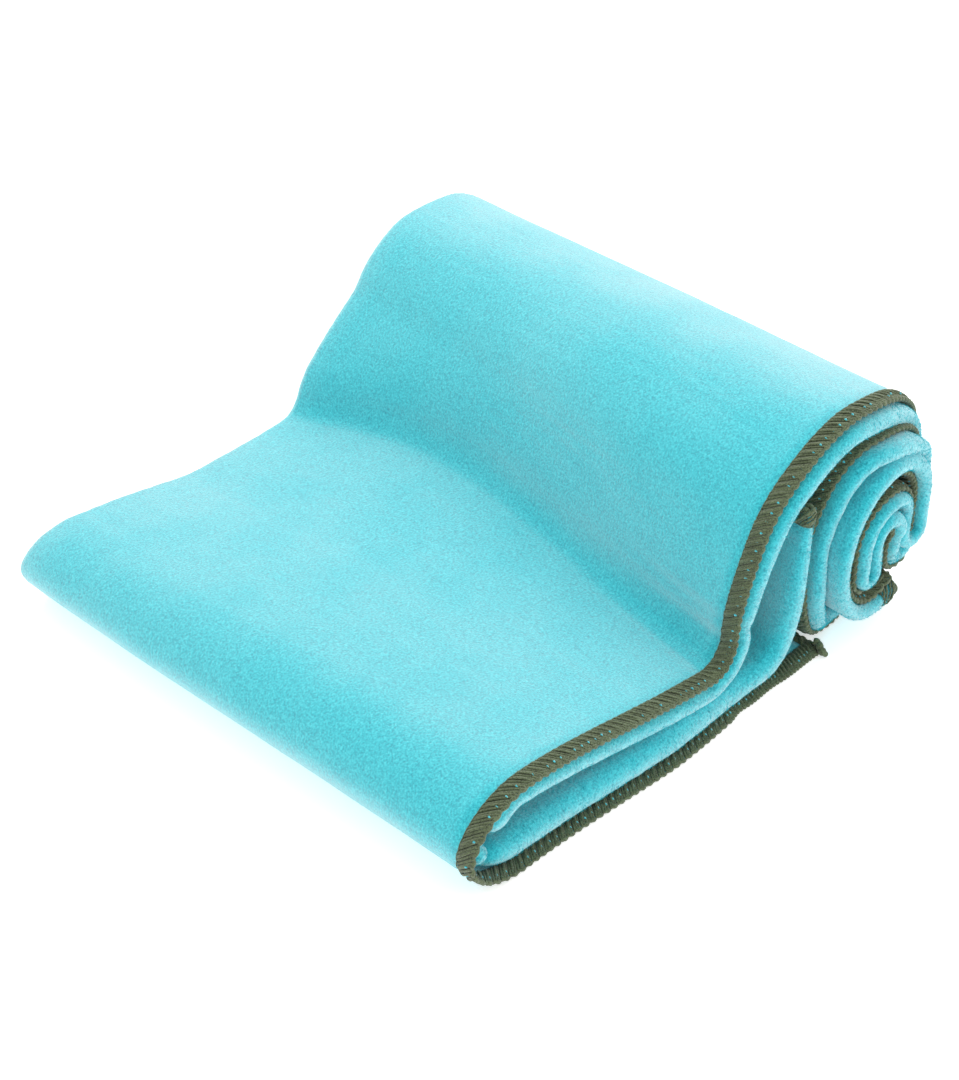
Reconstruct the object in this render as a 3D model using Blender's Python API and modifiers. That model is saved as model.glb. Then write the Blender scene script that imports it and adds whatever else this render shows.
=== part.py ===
"""A quick dry travel towel, folded lengthwise in three, turned over once and loosely rolled.

The towel is one microfibre cloth with an overlocked edge on all four sides. The cloth is mapped in
two steps. Its width is folded into a strip of three plies, and the strip follows a side profile
that runs from the outer short edge, along the ground, over the front turn and into the roll.
A place on the cloth is (s, t, h): the distance along the strip from the outer short edge, the
distance across the flat cloth from the near long edge, and the height over the cloth's middle.
"""

import math

import bmesh
import bpy
import numpy as np
from mathutils import Vector

MM = 0.001

# The cloth as it is cut. Its length is the length of the profile below.
CLOTH_WIDTH = 600 * MM
CLOTH_THICKNESS = 1.6 * MM
CLOTH_THICKNESS_UNDER_HEM = 0.6 * MM

# The three plies of the strip
STRIP_WIDTH = CLOTH_WIDTH / 3
PLY_PITCH = 2.4 * MM
STRIP_THICKNESS = 2 * PLY_PITCH + CLOTH_THICKNESS

# The overlocked edge
HEM_WIDTH = 6.2 * MM
HEM_RAMP = 2.0 * MM
THREAD_LAYER = 0.2 * MM
THREAD_GAP = 0.3 * MM
NEEDLE_LINE_WIDTH = 0.5 * MM
HEM_CORNER_GAP = 0.8 * MM

# The loose tail of thread at the outer corner
TAIL_DIAMETER = 1.2 * MM
TAIL_LENGTH = 9 * MM
TAIL_GAP = 0.8 * MM

# The folded and rolled bundle, seen from its side
FRONT_TO_ROLL = 148 * MM
FRONT_HEIGHT = 33.2 * MM
VALLEY_HEIGHT = 22.2 * MM
VALLEY_TO_ROLL = 49.2 * MM
ROLL_HEIGHT = 88.8 * MM
TURNED_END_UNDER_TOP = 24.8 * MM

# How far the inner turns of the roll stand out at the near end
INNER_SHIFT = -5 * MM

# The free room between neighbouring strips
END_GAP = 0.8 * MM
LEFT_GAP = 2.0 * MM
RIGHT_GAP = 1.1 * MM
CORE_GAP = 4.0 * MM

# The strips that lie over each other in the roll's height, and how the free height that they leave
# is shared out: over each top strip, under the inner arch, over the bottom strip, under the core
STRIPS_IN_ROLL = 7
TOP_SHARE = 0.109
ARCH_SHARE = 0.0613
BOTTOM_SHARE = 0.0273
CORE_LIFT_SHARE = 0.1477

# The single ply's outer end stays down on the ground and is folded a little short of the others
FLAT_END_SHARE = 0.62
FLAT_END_NODE = 3

DEGREES_PER_STATION = 30
SAMPLES_PER_SPAN = 32
FAR_FOLD_STEPS = 5
NEAR_FOLD_STEPS = 4
NORMAL_STEP = 0.2 * MM

COLLECTION = "quick_dry_towel"


def half_turn(x_in, x_out, z_end, heading_in, heading_out):
    """Three nodes of a round half turn whose far point is at height z_end."""
    radius = abs(x_out - x_in) / 2
    z_sides = z_end - math.copysign(radius, math.sin(math.radians(heading_in)))
    return (
        (x_in, z_sides, heading_in, INNER_SHIFT),
        ((x_in + x_out) / 2, z_end, (heading_in + heading_out) / 2, INNER_SHIFT),
        (x_out, z_sides, heading_out, INNER_SHIFT),
    )


def profile_nodes():
    """The strip's middle line as (distance, height, heading in degrees, sideways shift)."""
    left_pitch = STRIP_THICKNESS + LEFT_GAP
    right_pitch = STRIP_THICKNESS + RIGHT_GAP
    free = ROLL_HEIGHT - STRIPS_IN_ROLL * STRIP_THICKNESS
    top_pitch = STRIP_THICKNESS + TOP_SHARE * free
    ground = STRIP_THICKNESS / 2
    bottom = ground + STRIP_THICKNESS + BOTTOM_SHARE * free
    left = [FRONT_TO_ROLL + i * left_pitch for i in range(4)]
    tongue = left[3] + STRIP_THICKNESS + CORE_GAP
    right = [tongue + (4 - i) * right_pitch for i in range(5)]
    top = [ROLL_HEIGHT - STRIP_THICKNESS / 2 - i * top_pitch for i in range(4)]
    arch_top = top[3] - STRIP_THICKNESS - ARCH_SHARE * free
    inner_turn = bottom + STRIP_THICKNESS + CORE_LIFT_SHARE * free
    upright = left[0] - STRIP_THICKNESS - END_GAP
    front_top = FRONT_HEIGHT - STRIP_THICKNESS / 2
    valley = VALLEY_HEIGHT - STRIP_THICKNESS / 2
    valley_x = FRONT_TO_ROLL - VALLEY_TO_ROLL
    rise = top[0] - valley
    middle = (left[3] + tongue) / 2
    return (
        (upright, ROLL_HEIGHT - TURNED_END_UNDER_TOP, -90, 0),
        (upright - 1 * MM, 30 * MM, -93, -2 * MM),
        (upright - 18 * MM, ground + 2 * MM, -166, -4 * MM),
        (upright - 32 * MM, ground, -180, -5 * MM),
        (16 * MM, ground, -180, 0),
        (0, FRONT_HEIGHT / 2, -270, 0),
        (17 * MM, front_top, -362, 0),
        (valley_x, valley, -365, 0),
        (valley_x + 12 * MM, valley + 0.165 * rise, -284, 0),
        (valley_x + 24.5 * MM, valley + 0.66 * rise, -298, 0),
        (left[0] + 15 * MM, top[0], -360, 0),
        (right[0], ROLL_HEIGHT / 2, -450, 14 * MM),
        (right[3], ground, -540, 11 * MM),
        (left[2] + 3 * MM, ground, -540, 6 * MM),
        (left[0], 0.35 * ROLL_HEIGHT, -630, -2 * MM),
        (left[0] + 23 * MM, top[1], -720, -2 * MM),
        (right[1], 0.473 * ROLL_HEIGHT, -810, 8 * MM),
        (right[3] + 4 * MM, bottom + 6.2 * MM, -900, 1 * MM),
        (tongue, 0.36 * ROLL_HEIGHT, -990, -3 * MM),
        *half_turn(tongue, left[3], arch_top, -990, -810),
        *half_turn(left[3], left[2], inner_turn, -810, -990),
        (left[2], 0.428 * ROLL_HEIGHT, -990, INNER_SHIFT),
        (middle, top[3], -1080, INNER_SHIFT),
        (right[3], 0.484 * ROLL_HEIGHT, -1170, INNER_SHIFT),
        *half_turn(right[3], right[2], 0.36 * ROLL_HEIGHT, -1170, -990),
        (right[2], 0.484 * ROLL_HEIGHT, -990, INNER_SHIFT),
        (middle, top[2], -900, INNER_SHIFT),
        (left[1], 0.383 * ROLL_HEIGHT, -810, INNER_SHIFT),
        (left[2] + 9 * MM, bottom, -720, -4 * MM),
        (tongue - 2 * MM, bottom, -720, -3 * MM),
    )


def span_samples(start, end):
    """One curved span between two nodes, as rows of distance, height, heading and shift."""
    a, b = np.array(start, float), np.array(end, float)
    turn = math.radians(abs(b[2] - a[2]))
    reach = b[:2] - a[:2]
    headings = np.radians((a[2], b[2]))
    directions = np.column_stack((np.cos(headings), np.sin(headings)))
    if abs(turn - math.pi / 2) < math.radians(20):
        handles = 4 / 3 * (math.sqrt(2) - 1) * np.abs(directions @ reach)
    else:
        handles = np.full(2, np.linalg.norm(reach) / 3)
    p0, p3 = a[:2], b[:2]
    p1 = p0 + handles[0] * directions[0]
    p2 = p3 - handles[1] * directions[1]
    u = np.linspace(0, 1, SAMPLES_PER_SPAN + 1)[:, None]
    v = 1 - u
    place = v**3 * p0 + 3 * v**2 * u * p1 + 3 * v * u**2 * p2 + u**3 * p3
    pace = v**2 * (p1 - p0) + 2 * v * u * (p2 - p1) + u**2 * (p3 - p2)
    heading = np.unwrap(np.arctan2(pace[:, 1], pace[:, 0]))
    heading += 2 * math.pi * round((headings[0] - heading[0]) / (2 * math.pi))
    shift = a[3] + (b[3] - a[3]) * (u * u * (3 - 2 * u))[:, 0]
    return np.column_stack((place, heading, shift))


class Profile:
    """The strip's middle line, read by the distance s along it."""

    def __init__(self, nodes):
        rows = [span_samples(a, b) for a, b in zip(nodes, nodes[1:])]
        self.rows = np.concatenate([rows[0]] + [span[1:] for span in rows[1:]])
        steps = np.linalg.norm(np.diff(self.rows[:, :2], axis=0), axis=1)
        self.lengths = np.concatenate(([0], np.cumsum(steps)))
        self.node_lengths = self.lengths[::SAMPLES_PER_SPAN]
        self.turns = [abs(b[2] - a[2]) for a, b in zip(nodes, nodes[1:])]
        self.length = self.lengths[-1]

    def at(self, s):
        return [np.interp(s, self.lengths, column) for column in self.rows.T]

    def stations(self):
        """Where the cloth has a row of points: evenly by turn, and where the hem's slope begins."""
        found = [0]
        for start, end, turn in zip(self.node_lengths, self.node_lengths[1:], self.turns):
            count = max(1, round(turn / DEGREES_PER_STATION))
            found += list(np.linspace(start, end, count + 1)[1:])
        slope = (HEM_WIDTH + THREAD_GAP, HEM_WIDTH + THREAD_GAP + HEM_RAMP)
        clear = [s for s in found if slope[1] + MM < s < self.length - slope[1] - MM]
        ends = [0, *slope]
        return ends + clear + [self.length - s for s in reversed(ends)]


PROFILE = Profile(profile_nodes())
FAR_FOLD_START = STRIP_WIDTH - PLY_PITCH
FAR_FOLD_END = FAR_FOLD_START + math.pi * PLY_PITCH
NEAR_FOLD_START = FAR_FOLD_END + STRIP_WIDTH - 1.5 * PLY_PITCH
NEAR_FOLD_END = NEAR_FOLD_START + math.pi * PLY_PITCH / 2


def fold_section(t):
    """Where a place across the cloth lies in the strip: across it, and above its middle."""
    if t <= FAR_FOLD_START:
        return t, PLY_PITCH
    if t <= FAR_FOLD_END:
        angle = (t - FAR_FOLD_START) / PLY_PITCH
        return FAR_FOLD_START + PLY_PITCH * math.sin(angle), PLY_PITCH * math.cos(angle)
    if t <= NEAR_FOLD_START:
        return FAR_FOLD_START - (t - FAR_FOLD_END), -PLY_PITCH
    radius = PLY_PITCH / 2
    if t <= NEAR_FOLD_END:
        angle = (t - NEAR_FOLD_START) / radius
        return radius - radius * math.sin(angle), -radius - radius * math.cos(angle)
    return radius + t - NEAR_FOLD_END, 0.0


def eased(value, low, high):
    share = min(max((value - low) / (high - low), 0), 1)
    return share * share * (3 - 2 * share)


def middle_point(s, t):
    """The middle of the cloth's thickness."""
    x, z, heading, shift = PROFILE.at(s)
    across, above = fold_section(t)
    x -= math.sin(heading) * above
    z += math.cos(heading) * above
    flat_from = PROFILE.node_lengths[FLAT_END_NODE]
    if s < flat_from and t < FAR_FOLD_START:
        share = t / FAR_FOLD_START
        flat_x = PROFILE.at(flat_from)[0] + (flat_from - s) * FLAT_END_SHARE
        x = flat_x + (x - flat_x) * eased(share, 0.05, 0.65)
        z = CLOTH_THICKNESS / 2 + (z - CLOTH_THICKNESS / 2) * eased(share, 0.2, 1.0) ** 1.5
    return Vector((x, across - STRIP_WIDTH / 2 + shift, z))


def cloth_point(s, t, h=0.0):
    """A point h over the middle of the cloth, on the side that faces out of the fold."""
    if not h:
        return middle_point(s, t)
    low_s, high_s = max(s - NORMAL_STEP, 0), min(s + NORMAL_STEP, PROFILE.length)
    low_t, high_t = max(t - NORMAL_STEP, 0), min(t + NORMAL_STEP, CLOTH_WIDTH)
    along = middle_point(high_s, t) - middle_point(low_s, t)
    across = middle_point(s, high_t) - middle_point(s, low_t)
    return middle_point(s, t) + across.cross(along).normalized() * -h


def plies():
    """Where the cloth has a column of points, from the near long edge to the far one."""
    slope = (HEM_WIDTH + THREAD_GAP, HEM_WIDTH + THREAD_GAP + HEM_RAMP)
    shares = [FAR_FOLD_START * share for share in (0.12, 0.25, 0.38, 0.5, 0.65, 0.82)]
    far = list(np.linspace(FAR_FOLD_START, FAR_FOLD_END, FAR_FOLD_STEPS + 1))
    near = list(np.linspace(NEAR_FOLD_START, NEAR_FOLD_END, NEAR_FOLD_STEPS + 1))
    last = [CLOTH_WIDTH - slope[1], CLOTH_WIDTH - slope[0], CLOTH_WIDTH]
    return [0, *slope, *shares, *far, *near, *last]


def material(name, colour, roughness, sheen):
    made = bpy.data.materials.new(name)
    made.use_nodes = True
    shader = made.node_tree.nodes["Principled BSDF"]
    shader.inputs["Base Color"].default_value = (*colour, 1)
    shader.inputs["Roughness"].default_value = roughness
    shader.inputs["Metallic"].default_value = 0
    shader.inputs["Sheen Weight"].default_value = sheen
    made.diffuse_color = (*colour, 1)
    return made


def mapped_sheet(name, rows, columns, place, finish):
    """An open grid of rows by columns whose points are put where place(row, column) says."""
    mesh = bpy.data.meshes.new(name)
    grid = bmesh.new()
    across, along = len(columns) - 1, len(rows) - 1
    bmesh.ops.create_grid(grid, x_segments=across, y_segments=along, size=0.5)
    cells = {}
    for point in grid.verts:
        column = round((point.co.x + 0.5) * across)
        row = round((point.co.y + 0.5) * along)
        cells[point.index] = (row, column)
        point.co = place(rows[row], columns[column])
    grid.to_mesh(mesh)
    grid.free()
    mesh.materials.append(finish)
    sheet = bpy.data.objects.new(name, mesh)
    bpy.data.collections[COLLECTION].objects.link(sheet)
    mesh.shade_smooth()
    return sheet, cells


def thicken(sheet, thickness):
    shell = sheet.modifiers.new("thickness", "SOLIDIFY")
    shell.thickness = thickness
    shell.offset = 0
    shell.use_even_offset = True
    return shell


def make_cloth(finish):
    rows, columns = PROFILE.stations(), plies()
    cloth, cells = mapped_sheet("towel_cloth", rows, columns, cloth_point, finish)
    shell = thicken(cloth, CLOTH_THICKNESS)
    full = cloth.vertex_groups.new(name="full_thickness")
    thin = CLOTH_THICKNESS_UNDER_HEM / CLOTH_THICKNESS
    for index, (row, column) in cells.items():
        is_hem = row < 2 or row > len(rows) - 3 or column < 2 or column > len(columns) - 3
        full.add([index], thin if is_hem else 1.0, "REPLACE")
    shell.vertex_group = full.name
    return cloth


def thread_sections():
    """Each thread's middle as (name, steps inboard from the edge, their heights)."""
    layer = CLOTH_THICKNESS_UNDER_HEM / 2 + THREAD_GAP + THREAD_LAYER / 2
    lip = -(THREAD_GAP + THREAD_LAYER / 2)
    inner = HEM_WIDTH - NEEDLE_LINE_WIDTH - THREAD_GAP
    needle = (HEM_WIDTH - NEEDLE_LINE_WIDTH, HEM_WIDTH)
    return (
        ("upper_looper_thread", (lip, lip, inner), (-THREAD_GAP, layer, layer)),
        ("lower_looper_thread", (lip, inner), (-layer, -layer)),
        ("needle_thread", needle, (layer, layer)),
    )


def cloth_edge_point(s, t, h):
    """A point of a thread, which may lie a little outside the cloth's edge."""
    inside_s = min(max(s, 0), PROFILE.length)
    inside_t = min(max(t, 0), CLOTH_WIDTH)
    place = cloth_point(inside_s, inside_t, h)
    if t != inside_t:
        step = math.copysign(NORMAL_STEP, inside_t - t)
        outward = middle_point(inside_s, inside_t) - middle_point(inside_s, inside_t + step)
        place += outward.normalized() * abs(t - inside_t)
    if s != inside_s:
        step = math.copysign(NORMAL_STEP, inside_s - s)
        outward = middle_point(inside_s, inside_t) - middle_point(inside_s + step, inside_t)
        place += outward.normalized() * abs(s - inside_s)
    return place


def make_long_hem(edge, is_far, finish):
    """The three threads of an overlocked long edge."""
    rows = PROFILE.stations()
    for thread, steps, heights in thread_sections():

        def place(s, step, steps=steps, heights=heights):
            inboard = steps[step]
            t = CLOTH_WIDTH - inboard if is_far else inboard
            return cloth_edge_point(s, t, heights[step])

        sheet, _ = mapped_sheet(f"{edge}_{thread}", rows, range(len(steps)), place, finish)
        thicken(sheet, THREAD_LAYER)


def make_short_hem(edge, is_inner, finish):
    """The three threads of an overlocked short edge, between the two long hems."""
    margin = HEM_WIDTH + HEM_CORNER_GAP
    columns = [t for t in plies() if margin + MM < t < CLOTH_WIDTH - margin - MM]
    columns = [margin, *columns, CLOTH_WIDTH - margin]
    for thread, steps, heights in thread_sections():

        def place(t, step, steps=steps, heights=heights):
            inboard = steps[step]
            s = PROFILE.length - inboard if is_inner else inboard
            return cloth_edge_point(s, t, heights[step])

        sheet, _ = mapped_sheet(f"{edge}_{thread}", columns, range(len(steps)), place, finish)
        thicken(sheet, THREAD_LAYER)


def make_thread_tail(finish):
    """The end of the overlock chain, which lies on the ground beyond the outer corner."""
    corner = middle_point(0, 0)
    corner.z = 0
    curve = bpy.data.curves.new("corner_thread_tail", "CURVE")
    curve.dimensions = "3D"
    curve.bevel_depth = TAIL_DIAMETER / 2
    curve.bevel_resolution = 2
    curve.use_fill_caps = True
    line = curve.splines.new("POLY")
    count = 6
    line.points.add(count - 1)
    for i, point in enumerate(line.points):
        share = i / (count - 1)
        x = TAIL_GAP + TAIL_DIAMETER / 2 + TAIL_LENGTH * share
        y = HEM_WIDTH / 2 - TAIL_LENGTH * 0.3 * share * share
        point.co = (corner.x + x, corner.y + y, TAIL_DIAMETER / 2, 1)
    curve.materials.append(finish)
    tail = bpy.data.objects.new("corner_thread_tail", curve)
    bpy.data.collections[COLLECTION].objects.link(tail)


def stand_on_origin():
    """Hang every piece on one empty that puts the origin under the middle of the bundle's box."""
    pieces = list(bpy.data.collections[COLLECTION].objects)
    bpy.context.view_layer.update()
    corners = [piece.matrix_world @ Vector(corner) for piece in pieces for corner in piece.bound_box]
    low = Vector([min(corner[axis] for corner in corners) for axis in range(3)])
    high = Vector([max(corner[axis] for corner in corners) for axis in range(3)])
    stand = bpy.data.objects.new("towel_stand_point", None)
    bpy.data.collections[COLLECTION].objects.link(stand)
    stand.location = (-(low.x + high.x) / 2, -(low.y + high.y) / 2, -low.z)
    for piece in pieces:
        piece.parent = stand


def main():
    for old in list(bpy.data.objects):
        bpy.data.objects.remove(old, do_unlink=True)
    bpy.context.scene.collection.children.link(bpy.data.collections.new(COLLECTION))
    aqua = material("aqua_microfibre", (0.10, 0.60, 0.70), 0.9, 0.4)
    olive = material("olive_overlock_thread", (0.11, 0.13, 0.065), 0.7, 0.2)
    make_cloth(aqua)
    make_long_hem("near_long_edge", False, olive)
    make_long_hem("far_long_edge", True, olive)
    make_short_hem("outer_short_edge", False, olive)
    make_short_hem("inner_short_edge", True, olive)
    make_thread_tail(olive)
    stand_on_origin()


main()
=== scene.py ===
"""Quick dry towel: a suede microfibre cloth with an overlocked edge, folded in three and rolled.

A place on the towel is (s, t, h): the distance along the folded strip from the outer short edge,
the distance across the flat cloth from the near long edge, and the height over the cloth's middle.
Settings hold metres. The rest works in millimetres until to_world turns a piece into metres.
"""

import math
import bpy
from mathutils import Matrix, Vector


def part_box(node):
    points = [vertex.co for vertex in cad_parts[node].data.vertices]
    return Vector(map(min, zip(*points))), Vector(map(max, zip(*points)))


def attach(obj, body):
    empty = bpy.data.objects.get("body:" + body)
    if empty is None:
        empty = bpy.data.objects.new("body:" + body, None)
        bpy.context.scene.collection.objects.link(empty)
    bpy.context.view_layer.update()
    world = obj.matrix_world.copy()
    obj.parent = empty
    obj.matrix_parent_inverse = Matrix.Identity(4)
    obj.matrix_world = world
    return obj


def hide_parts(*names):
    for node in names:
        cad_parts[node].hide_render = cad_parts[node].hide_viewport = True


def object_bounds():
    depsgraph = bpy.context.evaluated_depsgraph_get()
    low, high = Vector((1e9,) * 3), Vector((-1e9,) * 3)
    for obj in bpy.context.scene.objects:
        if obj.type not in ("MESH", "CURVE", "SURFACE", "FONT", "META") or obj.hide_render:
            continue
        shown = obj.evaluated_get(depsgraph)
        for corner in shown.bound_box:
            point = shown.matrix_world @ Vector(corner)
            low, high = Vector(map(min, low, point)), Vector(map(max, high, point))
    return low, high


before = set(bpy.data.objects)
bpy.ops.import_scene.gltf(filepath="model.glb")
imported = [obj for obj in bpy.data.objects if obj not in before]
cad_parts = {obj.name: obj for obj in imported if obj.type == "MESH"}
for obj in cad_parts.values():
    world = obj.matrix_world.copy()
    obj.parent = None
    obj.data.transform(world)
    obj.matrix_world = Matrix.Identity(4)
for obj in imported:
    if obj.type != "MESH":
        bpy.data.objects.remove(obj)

from types import SimpleNamespace

import bpy
import numpy as np
from bpy.props import FloatProperty, FloatVectorProperty, IntProperty, PointerProperty, StringProperty
from mathutils import Vector, noise

bl_info = {
    "name": "Quick Dry Towel",
    "version": (1, 0, 0),
    "blender": (4, 5, 0),
    "location": "View3D > Sidebar > Towel",
    "description": "Builds a folded and rolled microfibre towel with overlocked edges",
    "category": "Add Mesh",
}

MM = 0.001
CAD_BOX = [list(corner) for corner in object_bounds()]
CLOTH_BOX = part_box("towel_cloth")


# ---------------------------------------------------------------- sizes and colours


def length(name, description, millimetres):
    """A length setting, given in millimetres and held in metres."""
    return FloatProperty(
        name=name, description=description, default=millimetres * MM, min=0.0, unit="LENGTH", precision=5
    )


class TowelClothSettings(bpy.types.PropertyGroup):
    """The cloth and how it is folded."""

    width: length("Cloth width", "Flat width, folded in three", 600.0)
    thickness: length("Cloth thickness", "Loft of the suede", 1.6)
    hem_squeeze: FloatProperty(
        name="Thickness in the hem",
        description="Share of the cloth's loft that is left under the stitches",
        default=0.45,
        subtype="FACTOR",
        min=0.1,
        max=1.0,
    )
    ply_pitch: length("Ply pitch", "Distance between the plies of the strip", 2.4)
    roll_height: length("Roll height", "Top of the roll over the floor", 88.8)
    front_height: length("Front height", "Top of the front turn over the floor", 33.2)
    row_step: length("Row step", "Mesh spacing along the strip", 1.38)
    nap: length("Nap", "Height of the cloth's small unevenness", 0.16)
    fibre: length("Fibre length", "Loose fibres on the near fold", 0.45)
    wave: length("Wave", "Height of the cloth's soft waves", 1.1)


class TowelHemSettings(bpy.types.PropertyGroup):
    """The three-thread overlock round the cloth's edge."""

    width: length("Hem width", "Edge to needle line", 5.6)
    stitch: length("Stitch length", "Needle stitch along the edge", 3.0)
    strands: IntProperty(name="Strands", description="Looper strands in one stitch", default=3, min=1)
    slant: length("Slant", "How far a strand runs along the edge", 4.0)
    strand_width: length("Strand width", "Width of one lofty strand", 1.0)
    strand_height: length("Strand height", "Height of one strand", 0.62)


class TowelColourSettings(bpy.types.PropertyGroup):
    """Colours as they are dyed, and the thread's painted groove shade, in sRGB hex."""

    cloth: StringProperty(name="Cloth", description="Dyed aqua suede", default="#28BECB")
    cloth_deep: StringProperty(name="Cloth, nap laid down", description="Darker nap", default="#0F94A8")
    cloth_tip: StringProperty(name="Cloth, fibre tips", description="Lighter fibre ends", default="#4CD8E2")
    thread: StringProperty(name="Thread", description="Olive polyester", default="#687655")
    # Painted shade: a darker olive laid into the thread's grooves between its plies, where shade falls.
    thread_groove_shade: StringProperty(name="Thread, in the grooves", description="Shaded ply", default="#353E29")
    floor: StringProperty(name="Floor", description="Pale studio floor", default="#F7F7F6")


class TowelStudioSettings(bpy.types.PropertyGroup):
    """The camera and the lights."""

    azimuth: FloatProperty(
        name="Azimuth",
        description="Camera's turn about the upright axis",
        default=math.radians(-45.5),
        subtype="ANGLE",
    )
    elevation: FloatProperty(
        name="Elevation",
        description="Camera's angle over the floor",
        default=math.radians(38.0),
        subtype="ANGLE",
    )
    distance: FloatProperty(
        name="Distance", description="Camera to target", default=0.9474, subtype="DISTANCE", unit="LENGTH"
    )
    lens: FloatProperty(name="Lens", description="Focal length", default=93.0, subtype="DISTANCE_CAMERA")
    target: FloatVectorProperty(
        name="Target",
        description="Where the camera looks",
        default=(0.00983, 0.01272, 0.0037),
        subtype="XYZ",
        unit="LENGTH",
    )
    softbox_power: FloatProperty(
        name="Softbox power", description="Overhead softbox", default=9.6, subtype="POWER", unit="POWER"
    )
    fill_power: FloatProperty(
        name="Fill power", description="Front fill", default=3.0, subtype="POWER", unit="POWER"
    )


def in_millimetres(settings):
    """A group's settings by name, with lengths in millimetres."""
    values = {}
    for name in type(settings).__annotations__:
        value = getattr(settings, name)
        is_length = settings.bl_rna.properties[name].unit == "LENGTH"
        values[name] = round(value / MM, 4) if is_length else value
    return SimpleNamespace(**values)


# ---------------------------------------------------------------- the strip's side profile


# Front turn to the roll's left side, and the valley between them
FRONT_TO_ROLL = 148.0
VALLEY_HEIGHT = 22.2
VALLEY_TO_ROLL = 49.2
# The outer end, turned up between the top strip and the roll
TURNED_END_HEIGHT = 68.0
# Gaps between neighbouring windings: left, right, top, bottom, round the core, and at both ends
LEFT_GAP = 2.0
RIGHT_GAP = 1.1
TOP_GAP = 4.8
BOTTOM_GAP = 1.2
CORE_GAP = 4.0
CORE_LIFT = 6.5
ARCH_GAP = 2.7
END_GAP = 0.8
# Sideways set of the inner windings
INNER_SHIFT = -5.0
# The single top ply runs on flat at the outer end, from this node, this much of the way out
FLAT_END_NODE = 3
FLAT_END_SHARE = 0.55
SAMPLES = 40


def half_turn(x_in, x_out, z_end, heading_in, heading_out):
    """Three nodes of a round half turn whose far point is at height z_end."""
    radius = abs(x_out - x_in) / 2
    z_sides = z_end - math.copysign(radius, math.sin(math.radians(heading_in)))
    return (
        (x_in, z_sides, heading_in, INNER_SHIFT),
        ((x_in + x_out) / 2, z_end, (heading_in + heading_out) / 2, INNER_SHIFT),
        (x_out, z_sides, heading_out, INNER_SHIFT),
    )


def profile_nodes(cloth):
    """The strip's middle line as (distance, height, heading in degrees, sideways shift)."""
    strip = 2 * cloth.ply_pitch + cloth.thickness
    ground = strip / 2
    bottom = ground + strip + BOTTOM_GAP
    left = [FRONT_TO_ROLL + i * (strip + LEFT_GAP) for i in range(4)]
    tongue = left[3] + strip + CORE_GAP
    right = [tongue + (4 - i) * (strip + RIGHT_GAP) for i in range(5)]
    top = [cloth.roll_height - ground - i * (strip + TOP_GAP) for i in range(4)]
    arch_top = top[3] - strip - ARCH_GAP
    inner_turn = bottom + strip + CORE_LIFT
    upright = left[0] - strip - END_GAP
    valley = VALLEY_HEIGHT - ground
    valley_x = FRONT_TO_ROLL - VALLEY_TO_ROLL
    middle = (left[3] + tongue) / 2
    return (
        (upright, TURNED_END_HEIGHT, -90, 0),
        (upright - 1, 30, -93, -2),
        (upright - 18, ground + 2, -166, -4),
        (upright - 32, ground, -180, -5),
        (16, ground, -180, 0),
        (0, cloth.front_height / 2, -270, 0),
        (17, cloth.front_height - ground, -362, 0),
        (valley_x, valley, -365, 0),
        (valley_x + 12, valley + 11, -284, 0),
        (valley_x + 24.5, valley + 44, -298, 0),
        (left[0] + 15, top[0], -360, 0),
        (right[0], cloth.roll_height / 2, -450, 14),
        (right[3], ground, -540, 11),
        (left[2] + 3, ground, -540, 6),
        (left[0], 31, -630, -2),
        (left[0] + 23, top[1], -720, -2),
        (right[1], 42, -810, 8),
        (right[3] + 4, bottom + 6.2, -900, 1),
        (tongue, 32, -990, -3),
        *half_turn(tongue, left[3], arch_top, -990, -810),
        *half_turn(left[3], left[2], inner_turn, -810, -990),
        (left[2], 38, -990, INNER_SHIFT),
        (middle, top[3], -1080, INNER_SHIFT),
        (right[3], 40, -1170, INNER_SHIFT),
        *half_turn(right[3], right[2], 27, -1170, -990),
        (right[2], 40, -990, INNER_SHIFT),
        (middle, top[2], -900, INNER_SHIFT),
        (left[1], 34, -810, INNER_SHIFT),
        (left[2] + 9, bottom, -720, -4),
        (tongue - 2, bottom, -720, -3),
    )


def span_samples(start, end):
    """One curved span between two nodes, as rows of distance, height, heading and shift."""
    a, b = np.array(start, float), np.array(end, float)
    turn = math.radians(abs(b[2] - a[2]))
    reach = b[:2] - a[:2]
    headings = np.radians((a[2], b[2]))
    directions = np.column_stack((np.cos(headings), np.sin(headings)))
    if abs(turn - math.pi / 2) < math.radians(20):
        handles = 4 / 3 * (math.sqrt(2) - 1) * np.abs(directions @ reach)
    else:
        handles = np.full(2, np.linalg.norm(reach) / 3)
    p0, p3 = a[:2], b[:2]
    p1 = p0 + handles[0] * directions[0]
    p2 = p3 - handles[1] * directions[1]
    u = np.linspace(0, 1, SAMPLES + 1)[:, None]
    v = 1 - u
    place = v**3 * p0 + 3 * v**2 * u * p1 + 3 * v * u**2 * p2 + u**3 * p3
    pace = v**2 * (p1 - p0) + 2 * v * u * (p2 - p1) + u**2 * (p3 - p2)
    heading = np.unwrap(np.arctan2(pace[:, 1], pace[:, 0]))
    heading += 2 * math.pi * round((headings[0] - heading[0]) / (2 * math.pi))
    shift = a[3] + (b[3] - a[3]) * (u * u * (3 - 2 * u))[:, 0]
    return np.column_stack((place, heading, shift))


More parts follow.
